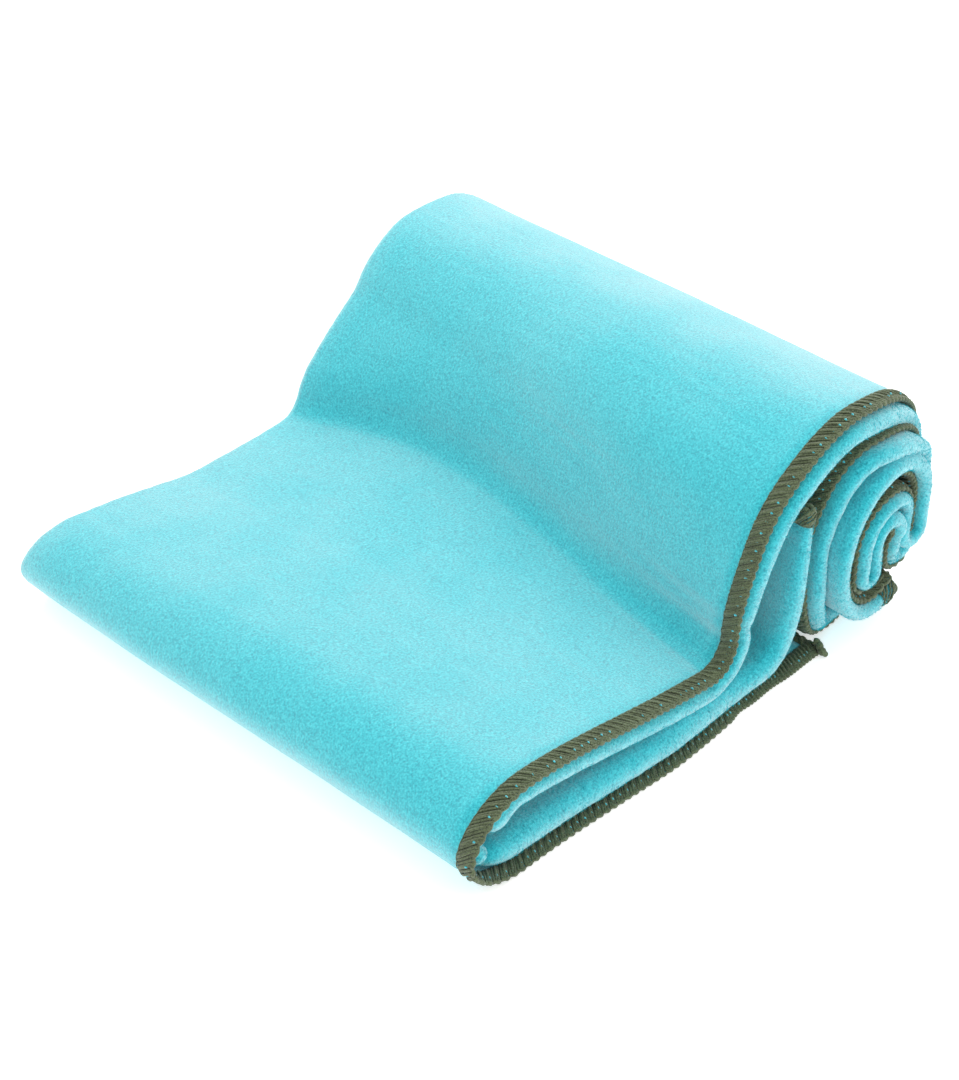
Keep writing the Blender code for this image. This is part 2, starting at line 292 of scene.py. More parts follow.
class Profile:
    """The strip's middle line, read by the distance s along it."""

    def __init__(self, nodes):
        spans = [span_samples(a, b) for a, b in zip(nodes, nodes[1:])]
        rows = np.concatenate([spans[0]] + [span[1:] for span in spans[1:]])
        steps = np.linalg.norm(np.diff(rows[:, :2], axis=0), axis=1)
        self.lengths = np.concatenate(([0], np.cumsum(steps)))
        self.node_lengths = self.lengths[::SAMPLES]
        self.length = self.lengths[-1]
        self.even = np.arange(0, self.length, 0.5)
        self.rows = [self.softened(np.interp(self.even, self.lengths, row)) for row in rows.T]

    @staticmethod
    def softened(values, reach=5):
        """The values with each kink in their slope rounded over a few millimetres."""
        kernel = np.hanning(2 * reach + 3)[1:-1]
        ends = np.pad(values, reach, mode="reflect", reflect_type="odd")
        return np.convolve(ends, kernel / kernel.sum(), mode="valid")

    def at(self, s):
        return [np.interp(s, self.even, row) for row in self.rows]


def smooth(value, low, high):
    share = np.clip((value - low) / (high - low), 0, 1)
    return share * share * (3 - 2 * share)


class Fold:
    """The cloth folded in three: the top ply from the hem, the bottom ply, and the ply between."""

    def __init__(self, cloth):
        self.ply = cloth.ply_pitch
        self.width = cloth.width / 3
        self.far_start = self.width - self.ply
        self.far_end = self.far_start + math.pi * self.ply
        self.near_radius = self.ply / 2
        self.near_start = self.far_end + self.width - 1.5 * self.ply
        self.near_end = self.near_start + math.pi * self.near_radius

    def section(self, t):
        """Where a place across the cloth lies in the strip: across it, and above its middle."""
        far = (t - self.far_start) / self.ply
        near = (t - self.near_start) / self.near_radius
        where = [t <= self.far_start, t <= self.far_end, t <= self.near_start, t <= self.near_end]
        across = np.select(
            where,
            [
                t,
                self.far_start + self.ply * np.sin(far),
                self.far_start - (t - self.far_end),
                self.near_radius - self.near_radius * np.sin(near),
            ],
            self.near_radius + t - self.near_end,
        )
        above = np.select(
            where,
            [self.ply, self.ply * np.cos(far), -self.ply, -self.near_radius * (1 + np.cos(near))],
            0.0,
        )
        return across, above


def field(u, v, seed):
    """Smooth noise from -1 to 1 over two coordinates, the same on each run."""
    u, v = np.broadcast_arrays(u, v)
    flat = [noise.noise(Vector((a, b, seed))) for a, b in zip(u.ravel(), v.ravel())]
    return np.array(flat).reshape(u.shape)


# Soft hollows and swellings: node at the middle, millimetres past it, place across, reach along,
# reach across and height.
SOFT_SPOTS = (
    (7, 15, 14, 9, 20, -3.0),
    (9, 20, 156, 22, 32, -1.5),
    (9, 4, 124, 18, 30, -1.2),
    (8, 22, 94, 15, 28, -1.2),
    (9, 18, 100, 22, 36, 1.4),
    (9, 14, 45, 18, 36, 2.0),
    (6, 40, 120, 30, 40, 1.0),
)
# Each table below is read along the strip: profile node to value, and evenly in between.
# How freely the strip waves, as a share
FREEDOM = {4: 0.0, 5: 0.3, 6: 1.0, 7: 1.0, 8: 1.0, 9: 1.0, 10: 0.8, 11: 0.4, 12: 0.0}
# How far the near fold lies inside the hem's edge
FOLD_RECESS = {
    0: -3.5, 0.5: -3.5, 1: -3.5, 2: -1.5, 3: 1.0, 4: 1.8, 4.6: 3.4, 5: 4.0, 6: 1.5, 7: 0.4, 8: 0.0,
    9: -1.5, 10: -2.5, 10.5: -4.0, 11: -6.0, 12: -3.0, 13: -1.5, 14: -4.5, 15: -4.5, 15.5: -7.5,
    16: -7.0, 17: -1.0, 18: -2.0, 25: -2.5, 32: -3.0, 35: -2.0,
}
# How far the near fold's lower ply hangs under the strip's middle: an unpressed fold is a soft loop
FOLD_DROP = {
    0: 2.4, 0.3: 3.4, 0.8: 6.0, 1.5: 8.0, 3: 9.0, 4: 9.0, 4.6: 6.5, 4.8: 5.2, 5: 5.4, 6: 6.6,
    7: 6.8, 8: 6.6, 9: 6.4, 10: 5.8, 11: 4.3, 12: 4.3, 13: 4.3, 14: 3.3, 15: 4.6, 16: 2.9, 17: 3.0,
    18: 3.0, 21: 3.0, 22: 2.4, 24: 2.4, 25: 3.2, 26: 2.6, 30: 2.6, 31: 2.8, 32: 4.6, 33: 3.3,
    34: 2.8, 35: 2.8,
}
# How far the near fold's upper ply lies under the strip's middle
FOLD_TOP = {
    0: 0.2, 4: 0.2, 5: 0.8, 6: 1.2, 7: 1.3, 9: 0.8, 10: 0.5, 11: -0.1, 14: -0.5, 15: -0.2, 16: -0.5,
    35: -0.5,
}
# Extra set of the hem, away from the near side
HEM_SHIFT = {
    0: 0.0, 1.5: 3.0, 2.5: 4.5, 3.3: 1.0, 4: 0.0, 5: -1.0, 6: 0.0, 10: 0.0, 11: 1.0, 12: 1.0,
    13.5: 1.0, 13.8: 3.0, 14.3: 5.2, 14.7: 3.4, 15: 0.6, 15.5: -0.6, 16: -0.8, 17: 0.0, 26: 0.0,
    27: 3.0, 31: 3.5, 32: 0.5, 33: 0.0,
}
# How the bundle lies off its even profile at its near side, bowed between its sides, and at its far
# side, each as along, across and up
LEAN = {
    "near": {
        4.2: (0, 0, 0), 5: (-4.8, 0, 0), 5.9: (0, 0, 0), 9.5: (0, 0, 0), 10: (-1, 0, 2),
        10.35: (-1, 0, 0), 10.6: (0, 0, -2.5), 11: (0, 0, -1), 12: (0, 0, 0), 33: (0, 0, 0),
        34: (2, 0, 1), 35: (5, 0, 3.5),
    },
    "bow": {
        4: (0, 0, 0), 5: (-2.3, 0, 0), 6: (0, 0, 0), 6.5: (2, 0, 2), 7: (13, 0, 8), 8: (12, 0, 8),
        8.5: (7, 0, 5), 9: (1, 0, 0), 10: (0, 0, 0),
    },
    "far": {
        0: (3, -2, -14), 1: (2, -2, -2), 2: (0, -2, 0), 3: (0, 0, 0), 4: (-4, 5, 0),
        5: (-7.5, 5.5, -3.5), 6: (-2, 3, -8), 6.5: (0, 0, -8), 7: (0, -3.5, 1), 8: (0, -3.5, 4),
        9: (15, -3.5, -4), 9.4: (11.5, -3.5, -6), 10: (3.5, -3.5, -8.5), 10.5: (0, -3, -8.8),
        11: (-2, -3, -4.5), 12: (0, -3, 0),
    },
}
# How late in the width the far side's lean sets in, as a power of the distance across
LEAN_POWER = {6.5: 2.0, 7.5: 1.15}
# Creases in the near fold: node, millimetres past it, reach, extra recess and extra drop
FOLD_CREASES = (
    (5, 7.0, 2.2, 4.0, -3.4),
    (5, 14.0, 5.0, -1.0, 2.4),
    (5, -2.0, 3.0, -2.0, 1.0),
    (5, -9.0, 2.6, 3.4, -3.0),
    (8, 4.0, 4.0, 0.8, -0.6),
)


def along_profile(profile, table):
    """Values at every place along the strip, from the values at some profile nodes."""
    known = np.interp(list(table), np.arange(len(profile.node_lengths)), profile.node_lengths)
    values = np.array(list(table.values()), float)
    if values.ndim == 1:
        return Profile.softened(np.interp(profile.even, known, values), 14)
    return [Profile.softened(np.interp(profile.even, known, column), 14) for column in values.T]


class Towel:
    """The folded towel's surface, with its softness."""

    STEP = 0.2
    WAVE_STEP = 6.0
    MARGIN = 16.0
    FOLD_REACH = 17.0

    def __init__(self, cloth):
        self.cloth = cloth
        self.fold = Fold(cloth)
        self.profile = profile = Profile(profile_nodes(cloth))
        self.flat_from = profile.node_lengths[FLAT_END_NODE]
        self.flat_x = profile.at(self.flat_from)[0]
        self.recess = along_profile(profile, FOLD_RECESS)
        self.drop = along_profile(profile, FOLD_DROP)
        self.top = along_profile(profile, FOLD_TOP)
        self.hem_shift = along_profile(profile, HEM_SHIFT)
        self.lean = {place: along_profile(profile, table) for place, table in LEAN.items()}
        self.lean_power = along_profile(profile, LEAN_POWER)
        self.rolled = along_profile(profile, {11: 0.0, 12.5: 1.0})
        for node, past, reach, recess, drop in FOLD_CREASES:
            away = (profile.even - profile.node_lengths[node] - past) / reach
            self.recess = self.recess + recess * np.exp(-(away**2))
            self.drop = self.drop + drop * np.exp(-(away**2))
        s = np.arange(0, profile.length + 2 * self.WAVE_STEP, self.WAVE_STEP)[:, None]
        y = np.arange(-self.MARGIN, self.fold.width + self.MARGIN, self.WAVE_STEP)[None, :]
        waves = field(s / 95 + 3.1, y / 120, 3.1) + 0.45 * field(s / 47 + 8.7, y / 60, 8.7)
        self.waves = cloth.wave * waves * self.read(along_profile(profile, FREEDOM), s)
        for node, past, across, reach_s, reach_y, height in SOFT_SPOTS:
            away_s = (s - profile.node_lengths[node] - past) / reach_s
            away_y = (y - across) / reach_y
            self.waves = self.waves + height * np.exp(-(away_s**2) - away_y**2)

    def read(self, values, s):
        return np.interp(s, self.profile.even, values)

    def wave(self, s, across):
        """How far the folded strip stands off its even path, read between stored points."""
        i = np.clip(s / self.WAVE_STEP, 0, self.waves.shape[0] - 1.001)
        j = np.clip((across + self.MARGIN) / self.WAVE_STEP, 0, self.waves.shape[1] - 1.001)
        i0, j0 = i.astype(int), j.astype(int)
        a, b = i - i0, j - j0
        a, b = a * a * (3 - 2 * a), b * b * (3 - 2 * b)
        low = self.waves[i0, j0] * (1 - b) + self.waves[i0, j0 + 1] * b
        high = self.waves[i0 + 1, j0] * (1 - b) + self.waves[i0 + 1, j0 + 1] * b
        return low * (1 - a) + high * a

    def near_fold(self, s, t, across, above):
        """The two folded plies, opened into a soft loop towards the near fold."""
        fold = self.fold
        top = -self.read(self.top, s)
        bottom = -self.read(self.drop, s)
        radius = (top - bottom) / 2
        reach = self.FOLD_REACH * (1 + 0.5 * (s < self.profile.node_lengths[4]))
        share = np.exp(-((np.maximum(across - fold.near_radius, 0) / reach) ** 2))
        opened = top + above / fold.ply * (top - bottom)
        arc = (t > fold.near_start) & (t < fold.near_end)
        beside = across + (radius - fold.near_radius) * share
        widened = np.where(arc, across * radius / fold.near_radius, beside)
        inner = t > fold.far_end
        above = np.where(inner, above + (opened - above) * share, above)
        across = np.where(inner, widened + self.read(self.recess, s) * share, across)
        return across, above

    def middle(self, s, t):
        """The middle of the cloth's thickness, for arrays of s and t."""
        s, t = np.broadcast_arrays(np.asarray(s, float), np.asarray(t, float))
        x, z, heading, shift = self.profile.at(s)
        across, above = self.near_fold(s, t, *self.fold.section(t))
        across = across + self.read(self.hem_shift, s) * np.exp(-((np.maximum(across, 0) / 25) ** 2))
        above = above + self.wave(s, across)
        x = x - np.sin(heading) * above
        z = z + np.cos(heading) * above
        along, sideways, up, far = self.leaning(s, across)
        x = x + along
        z = z + up * np.minimum(z / 20, 1) - self.read(self.rolled, s) * 0.08 * z * far
        across = across + sideways
        flat = (s < self.flat_from) & (t < self.fold.far_start)
        share = np.clip(t / self.fold.far_start, 0, 1)
        flat_x = self.flat_x + (self.flat_from - s) * FLAT_END_SHARE
        x = np.where(flat, flat_x + (x - flat_x) * smooth(share, 0.05, 0.65), x)
        ground = self.cloth.thickness / 2
        lifted = ground + (z - ground) * smooth(share, 0.2, 1.0) ** 1.5
        z = np.where(flat, lifted, z)
        return np.stack((x, across - self.fold.width / 2 + shift, z), axis=-1)

    def leaning(self, s, across):
        """How the bundle lies off its even profile: along, across, up, and the far side's share."""
        share = np.clip(across / self.fold.width, 0, 1.03)
        far = share ** self.read(self.lean_power, s)
        weights = {"near": 1 - far, "bow": np.sin(math.pi * np.minimum(share, 1) ** 1.5), "far": far}
        lean = (
            sum(self.read(self.lean[place][i], s) * weight for place, weight in weights.items())
            for i in range(3)
        )
        return (*lean, far)

    def point(self, s, t, h):
        """A point h over the cloth's middle, which may also lie a little outside its edges."""
        s, t, h = np.broadcast_arrays(*(np.asarray(v, float) for v in (s, t, h)))
        step = self.STEP
        inside_s = np.clip(s, step, self.profile.length - step)
        inside_t = np.clip(t, step, self.cloth.width - step)
        along = self.middle(inside_s + step, inside_t) - self.middle(inside_s - step, inside_t)
        across = self.middle(inside_s, inside_t + step) - self.middle(inside_s, inside_t - step)
        out = np.cross(along, across)
        out /= np.linalg.norm(out, axis=-1, keepdims=True)
        along /= np.linalg.norm(along, axis=-1, keepdims=True)
        across /= np.linalg.norm(across, axis=-1, keepdims=True)
        place = self.middle(inside_s, inside_t)
        place = place + along * (s - inside_s)[..., None] + across * (t - inside_t)[..., None]
        return place + out * h[..., None]


# The front turn's foremost point and the strip's middle, as the CAD model has them
STRIP_THICKNESS = 6.4
NEAR_SIDE_TO_MIDDLE = 105.9
ORIGIN = np.array(
    (CLOTH_BOX[0][0] / MM + STRIP_THICKNESS / 2, CAD_BOX[0][1] / MM + NEAR_SIDE_TO_MIDDLE, 0.0)
)


def to_world(points):
    """Millimetres in the towel's own frame, as metres in the CAD model's frame."""
    return (points + ORIGIN) * MM


# ---------------------------------------------------------------- meshes


def grid_faces(rows, columns, closed=False):
    """Four-sided faces between rows of points; closed joins each row's last point to its first."""
    i, j = np.meshgrid(np.arange(rows - 1), np.arange(columns if closed else columns - 1), indexing="ij")
    right = (j + 1) % columns
    this, following = i * columns, (i + 1) * columns
    return np.stack((this + j, this + right, following + right, following + j), -1).reshape(-1, 4)


def new_piece(name, points, faces, finish):
    """A mesh piece that rides on the root body, from points in millimetres."""
    mesh = bpy.data.meshes.new(name)
    mesh.vertices.add(len(points))
    mesh.vertices.foreach_set("co", to_world(points).ravel())
    mesh.loops.add(faces.size)
    mesh.loops.foreach_set("vertex_index", faces.ravel())
    mesh.polygons.add(len(faces))
    mesh.polygons.foreach_set("loop_start", np.arange(len(faces)) * faces.shape[1])
    mesh.update(calc_edges=True)
    mesh.validate()
    mesh.shade_smooth()
    mesh.materials.append(finish)
    piece = bpy.data.objects.new(name, mesh)
    bpy.context.scene.collection.objects.link(piece)
    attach(piece, "root")
    return piece


def tubes(centres, width_way, height_way, widths, heights, sides=6):
    """Tubes along many lines at once, from arrays of (line, step, xyz). Their ends are left open,
    and lie inside the hem or taper to nothing."""
    lines, steps, _ = centres.shape
    turn = np.arange(sides) * 2 * math.pi / sides
    ring = (
        centres[:, :, None]
        + width_way[:, :, None] * (np.cos(turn)[:, None] * widths[..., None, None] / 2)
        + height_way[:, :, None] * (np.sin(turn)[:, None] * heights[..., None, None] / 2)
    )
    side = grid_faces(steps, sides, closed=True)
    faces = (np.arange(lines)[:, None, None] * steps * sides + side).reshape(-1, 4)
    return ring.reshape(-1, 3), faces


def joined(*meshes):
    """Several (points, faces) as one."""
    points = np.concatenate([mesh[0] for mesh in meshes])
    starts = np.cumsum([0] + [len(mesh[0]) for mesh in meshes[:-1]])
    faces = np.concatenate([mesh[1] + start for mesh, start in zip(meshes, starts)])
    return points, faces


def unit(vectors):
    return vectors / np.maximum(np.linalg.norm(vectors, axis=-1, keepdims=True), 1e-9)


# ---------------------------------------------------------------- the cloth


def cloth_columns(fold, width):
    """Where the cloth has a column of points: close together at the hem and the folds."""
    beside = np.array((1.6, 3.5, 6, 9, 14, 22))
    return np.concatenate(
        (
            (0, 1.6, 3.2, 4.8, 6.2, 6.8, 7.6, 8.6, 10, 12),
            np.arange(20, fold.far_start - 4, 10),
            np.linspace(fold.far_start, fold.far_end, 9),
            np.linspace(fold.far_end + 15, fold.near_start - 40, 4),
            fold.near_start - beside[::-1],
            np.linspace(fold.near_start, fold.near_end, 9),
            fold.near_end + beside,
            fold.near_end + np.array((45, 90, 135)),
            width - np.array((8.6, 6.4, 3.2, 0)),
        )
    )


def loft_share(away, hem, squeeze):
    """How much of its loft the cloth keeps at a distance from a hemmed edge."""
    return squeeze + (1 - squeeze) * smooth(away, hem + 0.2, hem + 3.2)


def cloth_mesh(towel, hem_width):
    """Both faces of the cloth, with the nap's unevenness, closed by a rim."""
    cloth, length = towel.cloth, towel.profile.length
    s = np.linspace(0, length, int(length / cloth.row_step))[:, None]
    t = cloth_columns(towel.fold, cloth.width)[None, :]
    away = np.minimum(np.minimum(t, cloth.width - t), np.minimum(s, length - s))
    half = cloth.thickness / 2 * loft_share(away, hem_width, cloth.hem_squeeze)
    rows, columns = half.shape
    sides = []
    for seed, side in ((1.7, 1), (5.3, -1)):
        nap = field(s / 3.6, t / 3.6, seed) + 0.6 * field(s / 1.9, t / 1.9, seed + 9)
        nap = cloth.nap * nap * smooth(away, hem_width, hem_width + 3)
        sides.append(towel.point(s, t, side * (half + nap)).reshape(-1, 3))
    points = np.concatenate(sides)
    faces = grid_faces(rows, columns)
    count = rows * columns
    under = faces[:, ::-1] + count
    index = np.arange(count).reshape(rows, columns)
    border = np.concatenate((index[0, :-1], index[:-1, -1], index[-1, :0:-1], index[:0:-1, 0]))
    following = np.roll(border, -1)
    rim = np.stack((following, border, border + count, following + count), -1)
    return points, np.concatenate((faces, under, rim))


# ---------------------------------------------------------------- the overlock


class Edge:
    """One overlocked edge: e runs along it, a runs inboard from it, and h is the height."""

    def __init__(self, towel, side, start, end):
        self.towel = towel
        self.side = side
        self.start = start
        self.end = end

    def place(self, e, a, h):
        towel = self.towel
        if self.side == "near":
            return towel.point(e, a, h)
        if self.side == "far":
            return towel.point(e, towel.cloth.width - a, h)
        if self.side == "outer":
            return towel.point(a, e, h)
        return towel.point(towel.profile.length - a, e, h)

    def lines(self, e, a, h, lean):
        """Points along many lines, with each line's width and height directions.

        lean tips a thread's height from the cloth's face (0) out past its edge (1), or to the other
        face (2).
        """
        step = 0.1
        turn = lean * math.pi / 2
        centre = self.place(e, a, h)
        up = unit(self.place(e, a - step * np.sin(turn), h + step * np.cos(turn)) - centre)
        tangent = unit(np.gradient(centre, axis=1))
        across = unit(np.cross(tangent, up))
        return centre, across, unit(np.cross(across, tangent))


def looper_strands(edge, hem, cloth, face, seed):
    """The strands that a looper lays between the needle line and the edge, on one face.

    Each stitch is a rib of a few strands, the middle one standing a little higher. A strand runs
    over the face, then round the edge. A bed of cloth-thin faces under them closes the gaps.
    """
    draw = np.random.default_rng(seed)
    stitches = np.arange(edge.start - hem.slant + hem.stitch / 2, edge.end, hem.stitch)
    place = np.arange(hem.strands) - (hem.strands - 1) / 2
    starts = (stitches[:, None] + place * hem.strand_width * 0.88).reshape(-1, 1)
    crown = np.tile(0.5 - 0.5 * np.abs(place), len(stitches))[:, None]
    count = len(starts)
    half = cloth.thickness / 2 * cloth.hem_squeeze + hem.strand_height / 2
    over = np.linspace(0, 1, 6)
    wrap = np.linspace(0.25, 1.0, 4)
    rim = 0.5
    past_edge = 0.45
    over_face = hem.width - (hem.width - rim) * over
    round_edge = rim - (rim + past_edge) * np.sin(wrap * math.pi / 2)
    a = np.concatenate((over_face, round_edge))
    share = np.minimum((hem.width - a) / hem.width, 1)
    lean = np.concatenate((np.zeros(len(over)), wrap))
    h = np.concatenate((half + 0.16 * np.sin(over * math.pi), half * np.cos(wrap * math.pi / 2)))
    e = starts + draw.normal(0, 0.06, (count, 1)) + hem.slant * share[None, :]
    e = np.clip(e, edge.start, edge.end)
    a = a[None, :] + draw.normal(0, 0.08, (count, 1))
    rise = np.concatenate((np.sin(over * math.pi) ** 0.5, 0.3 * np.cos(wrap * math.pi / 2)))
    h = face * (h[None, :] + crown * rise + draw.normal(0, 0.03, (count, 1)))
    centre, width_way, height_way = edge.lines(e, a, h, np.where(face > 0, lean, 2 - lean)[None, :])
    ends = np.ones(len(lean))
    ends[0] = 0.35
    ends[-1] = 0.6
    widths = hem.strand_width * (1 + draw.normal(0, 0.06, (count, 1))) * ends[None, :]
    heights = hem.strand_height * np.broadcast_to(ends[None, :], widths.shape)
    strands = tubes(centre, width_way, height_way, widths, heights)
    bed_e = np.arange(edge.start, edge.end, 1.3)[:, None]
    bed_a = np.linspace(hem.width - 0.25, 0, 6)[None, :]
    under = np.full((len(bed_e), 6), face * (half - hem.strand_height * 0.45))
    bed = edge.place(bed_e, bed_a, under).reshape(-1, 3)
    return joined(strands, (bed, grid_faces(len(bed_e), 6)))


def edge_chain(edge, hem):
    """The chain of interlocked loops along the very edge, a bead at each stitch."""
    steps = 8
    count = int((edge.end - edge.start) / hem.stitch * steps)
    e = np.linspace(edge.start, edge.end, count)[None, :]
    phase = e / hem.stitch * math.pi
    bead = np.abs(np.sin(phase)) ** 0.7
    a = np.full_like(e, -0.15) - 0.35 * bead
    h = 0.22 * np.sin(phase * 2)
    centre, width_way, height_way = edge.lines(e, a, h, np.ones_like(e))
    size = 0.45 + 0.95 * bead
    return tubes(centre, width_way, height_way, size * 1.15, size, sides=8)


def needle_stitches(edge, hem, cloth):
    """The needle thread's line of stitches, which holds the loops down."""
    steps = 6
    count = int((edge.end - edge.start) / hem.stitch * steps)
    e = np.linspace(edge.start, edge.end, count)[None, :]
    rise = np.abs(np.sin(e / hem.stitch * math.pi)) ** 0.5
    h = cloth.thickness / 2 * cloth.hem_squeeze + 0.1 + 0.45 * rise
    a = np.full_like(e, hem.width - 0.3)
    centre, width_way, height_way = edge.lines(e, a, h, np.zeros_like(e))
    size = np.full_like(e, 0.42)
    return tubes(centre, width_way, height_way, size, size)


def nap_tufts(edge, cloth, hem):
    """Small tufts of the cloth's nap that the stitches pull out, thickest along the flat end."""
    draw = np.random.default_rng(77)
    nodes = edge.towel.profile.node_lengths
    e = np.arange(edge.start + 3, edge.end - 3, hem.stitch)
    on_flat_end = 0.5 + 0.45 * (e > nodes[FLAT_END_NODE])
    in_bunches = 0.25 + 0.6 * (field(e / 31, 0.5, 4.4) > 0.0)
    shown = draw.random(len(e)) < np.where(e < nodes[5] + 30, on_flat_end, in_bunches)
    e = (e + draw.normal(0, 0.15, len(e)))[shown][:, None]
    steps = np.array([0.0, 0.5, 1.0])
    length = 1.1
    low = cloth.thickness / 2 * cloth.hem_squeeze + hem.strand_height * 1.05
    meshes = []
    for face in (1, -1):
        a = 1.4 + draw.normal(0, 0.2, e.shape) + length * (0.5 - steps[None, :])
        h = face * (low + 0.2 * np.sin(steps * math.pi))[None, :]
        centre, width_way, height_way = edge.lines(e + 0 * a, a, h + 0 * a, np.full(a.shape, 1.0 - face))
        width = np.array([0.2, 0.65, 0.2])[None, :] * (1 + draw.normal(0, 0.25, e.shape))
        meshes.append(tubes(centre, width_way, height_way, width, width * 0.8, sides=5))
    return joined(*meshes)


def nap_fibres(towel, count, spread):
    """Short fibres standing on the near fold, as slim blades scattered across it."""
    draw = np.random.default_rng(40)
    cloth, fold = towel.cloth, towel.fold
    s = draw.uniform(1, towel.profile.length - 1, count)
    t = draw.normal((fold.near_start + fold.near_end) / 2, spread, count)
    half = cloth.thickness / 2
    root = towel.point(s, t, half * 0.9)
    tip = towel.point(s + draw.normal(0, 0.3, count), t + draw.normal(0, 0.3, count), half + cloth.fibre)
    way = unit(np.cross(tip - root, draw.normal(0, 1, (count, 3)))) * 0.09
    points = np.stack((root - way, root + way, tip), 1).reshape(-1, 3)
    return points, np.arange(count * 3).reshape(-1, 3)


# ---------------------------------------------------------------- materials


def linear(colour):
    """An sRGB hex colour as linear RGBA."""
    parts = [int(colour[i : i + 2], 16) / 255 for i in (1, 3, 5)]
    return (*(c / 12.92 if c <= 0.04045 else ((c + 0.055) / 1.055) ** 2.4 for c in parts), 1.0)


def grey(value):
    return (value, value, value, 1.0)


def add_node(tree, kind, links=(), stops=(), **settings):
    """A node with its settings.

    links are (input, output of another node) pairs, and stops are a colour ramp's (position,
    colour) pairs.
    """
    node = tree.nodes.new(kind)
    for name, value in settings.items():
        if hasattr(node, name):
            setattr(node, name, value)
        else:
            node.inputs[name.replace("_", " ")].default_value = value
    for name, output in links:
        tree.links.new(output, node.inputs[name])
    for i, (position, colour) in enumerate(stops):
        ramp = node.color_ramp
        element = ramp.elements[i] if i < 2 else ramp.elements.new(position)
        element.position = position
        element.color = colour
    return node


def start_material(name):
    made = bpy.data.materials.new(name)
    made.use_nodes = True
    tree = made.node_tree
    return made, tree, tree.nodes["Principled BSDF"], tree.nodes.new("ShaderNodeTexCoord").outputs["Object"]


def suede_microfibre(colours, name, sheen):
    """Brushed suede microfibre: a matt cloth whose short nap catches light as a soft pale sheen.

    To the eye it gives a fine mottle, from tufts about 0.7 mm across, and broad paler and deeper
    patches, about 30 mm across, where the nap is brushed one way or another. Seen along its fibres
    it shows its full dye, and seen across them it turns pale. sheen is how strongly.
    """
    made, tree, shader, place = start_material(name)
    tufts = add_node(
        tree, "ShaderNodeTexNoise", [("Vector", place)], Scale=1 / 0.0007, Detail=3.0, Roughness=0.7
    ).outputs["Fac"]
    patches = add_node(
        tree, "ShaderNodeTexNoise", [("Vector", place)], Scale=1 / 0.03, Detail=3.0, Roughness=0.5
    ).outputs["Fac"]
    slope = add_node(tree, "ShaderNodeLayerWeight", Blend=0.5).outputs["Facing"]
    dyes = [linear(colour) for colour in (colours.cloth_deep, colours.cloth, colours.cloth_tip)]
    grain = add_node(tree, "ShaderNodeValToRGB", [("Fac", tufts)], stops=tuple(zip((0.3, 0.5, 0.7), dyes)))
    tree.links.new(grain.outputs["Color"], shader.inputs["Base Color"])
    across_fibres = ((0.0, 0.3), (0.14, 0.58), (0.36, 1.0), (0.7, 0.9), (1.0, 0.7))
    pale_stops = [(at, grey(sheen * value)) for at, value in across_fibres]
    pale = add_node(tree, "ShaderNodeValToRGB", [("Fac", slope)], stops=pale_stops)
    brushed = add_node(
        tree, "ShaderNodeValToRGB", [("Fac", patches)], stops=((0.38, grey(0.82)), (0.6, grey(1.0)))
    )
    weight = add_node(
        tree,
        "ShaderNodeMix",
        [(6, pale.outputs["Color"]), (7, brushed.outputs["Color"])],
        data_type="RGBA",
        blend_type="MULTIPLY",
        Factor=1.0,
    )
    tree.links.new(weight.outputs[2], shader.inputs["Sheen Weight"])
    bump = add_node(tree, "ShaderNodeBump", [("Height", tufts)], Strength=0.5, Distance=0.0006)
    tree.links.new(bump.outputs["Normal"], shader.inputs["Normal"])
    shader.inputs["Roughness"].default_value = 0.95
    shader.inputs["Specular IOR Level"].default_value = 0.15
    shader.inputs["Sheen Roughness"].default_value = 0.61
    shader.inputs["Sheen Tint"].default_value = (1.0, 0.98, 0.97, 1)
    return made


def spun_polyester(colours):
    """Textured polyester sewing thread: lofty, with a low lustre.

    To the eye it gives olive threads that are darker where their plies sink in, about 0.4 mm apart,
    a painted shade laid where the bump is low, and a dye that varies a little every 6 mm.
    """
    made, tree, shader, place = start_material("textured_polyester_olive")
    plies = add_node(
        tree, "ShaderNodeTexNoise", [("Vector", place)], Scale=1 / 0.0004, Detail=2.0, Roughness=0.6
    ).outputs["Fac"]
    dye = add_node(
        tree, "ShaderNodeTexNoise", [("Vector", place)], Scale=1 / 0.006, Detail=2.0
    ).outputs["Fac"]
    # Painted shade: where the ply noise is low, and so the bump is low, the olive darkens to the groove
    # shade.
    shades = ((0.34, linear(colours.thread_groove_shade)), (0.58, linear(colours.thread)))
    grain = add_node(tree, "ShaderNodeValToRGB", [("Fac", plies)], stops=shades)
    varied = add_node(
        tree, "ShaderNodeValToRGB", [("Fac", dye)], stops=((0.35, (0.86, 0.86, 0.84, 1)), (0.65, grey(1.0)))
    )
    colour = add_node(
        tree,
        "ShaderNodeMix",
        [(6, grain.outputs["Color"]), (7, varied.outputs["Color"])],
        data_type="RGBA",
        blend_type="MULTIPLY",
        Factor=1.0,
    )
    tree.links.new(colour.outputs[2], shader.inputs["Base Color"])
    bump = add_node(tree, "ShaderNodeBump", [("Height", plies)], Strength=0.8, Distance=0.0003)
    tree.links.new(bump.outputs["Normal"], shader.inputs["Normal"])
    shader.inputs["Roughness"].default_value = 0.7
    shader.inputs["Specular IOR Level"].default_value = 0.3
    shader.inputs["Sheen Weight"].default_value = 0.25
    return made


